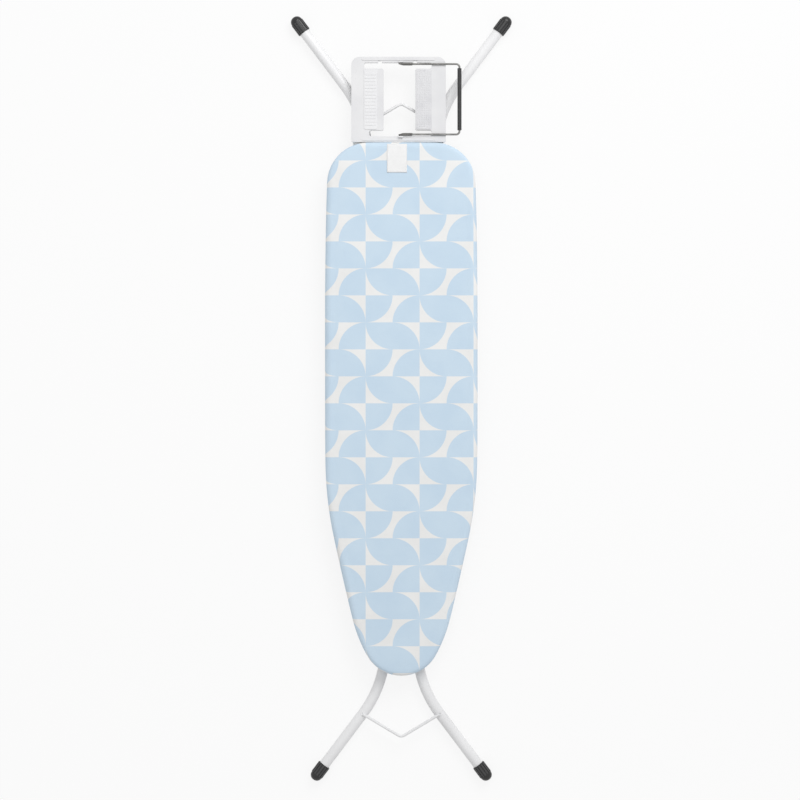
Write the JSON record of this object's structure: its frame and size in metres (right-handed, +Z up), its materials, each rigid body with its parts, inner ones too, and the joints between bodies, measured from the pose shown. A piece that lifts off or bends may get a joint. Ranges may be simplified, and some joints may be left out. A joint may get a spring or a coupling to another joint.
{
  "type": "folding ironing board",
  "caption": "Folding ironing board, shown folded: padded, cloth-covered deck with tapered nose, scissor legs with splayed capped feet, height latch, and an iron rest with a hinged wire bail.",
  "frame": {"origin": "centre of the folded board's footprint at the floor, under its four foot caps; the scissor pivot stands right above it", "axes": "+Z up through the cover, +Y along the board toward the iron rest, +X across the board toward the side where the bail lies"},
  "size_m": [0.4622, 1.5996, 0.0601],
  "materials": {
    "deck_paint": "white powder coat",
    "padding": "thin foam pad",
    "cover_fabric": "woven cotton, light blue print on off-white",
    "leg_paint": "white powder coat, satin",
    "bright_steel": "zinc plated steel",
    "rest_plastic": "very light grey heat-resistant moulding",
    "mat_rubber": "pale grey dotted silicone",
    "cap_plastic": "dark grey moulding",
    "guide_plastic": "pale grey nylon"
  },
  "bodies": {
    "board": {"deck_plate": "deck_paint", "deck_rim": "deck_paint", "cross_rib_nose": "deck_paint", "cross_rib_mid": "deck_paint", "cross_rib_hip": "deck_paint", "cross_rib_rear": "deck_paint", "foam_pad": "padding", "fabric_cover": "cover_fabric", "slide_rail": "deck_paint", "hinge_bracket": "deck_paint", "hinge_axle": "bright_steel", "axle_clips": "bright_steel", "leg_clip_left": "guide_plastic", "leg_clip_right": "guide_plastic", "latch_bearings": "deck_paint", "iron_rest_tray": "rest_plastic", "ribbed_mat": "rest_plastic", "dotted_mat": "mat_rubber", "rest_arm_left": "deck_paint", "rest_arm_right": "deck_paint", "arm_rivets": "bright_steel", "tray_screws": "bright_steel", "bail_pins": "bright_steel"},
    "rest_bail": {"bail_wire": "bright_steel", "bail_ferrules": "bright_steel", "bail_grip": "cap_plastic"},
    "height_latch": {"latch_rod": "bright_steel", "latch_teeth": "bright_steel", "latch_arm": "bright_steel", "latch_handle": "cap_plastic"},
    "inner_leg": {"inner_tube_left": "leg_paint", "inner_tube_right": "leg_paint", "inner_brace": "leg_paint", "inner_cap_left": "cap_plastic", "inner_cap_right": "cap_plastic", "inner_plugs": "cap_plastic", "hinge_bushes": "guide_plastic", "pivot_bolts": "bright_steel", "pivot_spacers": "guide_plastic", "pivot_nuts": "bright_steel"},
    "outer_leg": {"outer_tube_left": "leg_paint", "outer_tube_right": "leg_paint", "outer_brace": "leg_paint", "outer_cap_left": "cap_plastic", "outer_cap_right": "cap_plastic", "outer_plugs": "cap_plastic", "slide_bar": "bright_steel", "guide_bushes": "guide_plastic", "slide_bar_caps": "cap_plastic"}
  },
  "joints": [
    {"name": "inner_leg_fold", "type": "hinge", "parent": "board", "child": "inner_leg", "pos_m": [0, 0.4, 0.0335], "axis": [1, 0, 0], "range_deg": [0, 49]},
    {"name": "outer_leg_scissor", "type": "hinge", "parent": "inner_leg", "child": "outer_leg", "pos_m": [0, 0, 0.0135], "axis": [1, 0, 0], "range_deg": [-98, 0]},
    {"name": "rest_bail_flip", "type": "hinge", "parent": "board", "child": "rest_bail", "pos_m": [-0.001, 0.6213, 0.04813], "axis": [0, -1, 0], "range_deg": [0, 100]},
    {"name": "height_latch_drop", "type": "hinge", "parent": "board", "child": "height_latch", "pos_m": [0.027, -0.14, 0.04553], "axis": [0, 1, 0], "range_deg": [0, 20]}
  ],
  "couplings": [
    {"joint": "outer_leg_scissor", "follows": "inner_leg_fold", "ratio": -2}
  ]
}
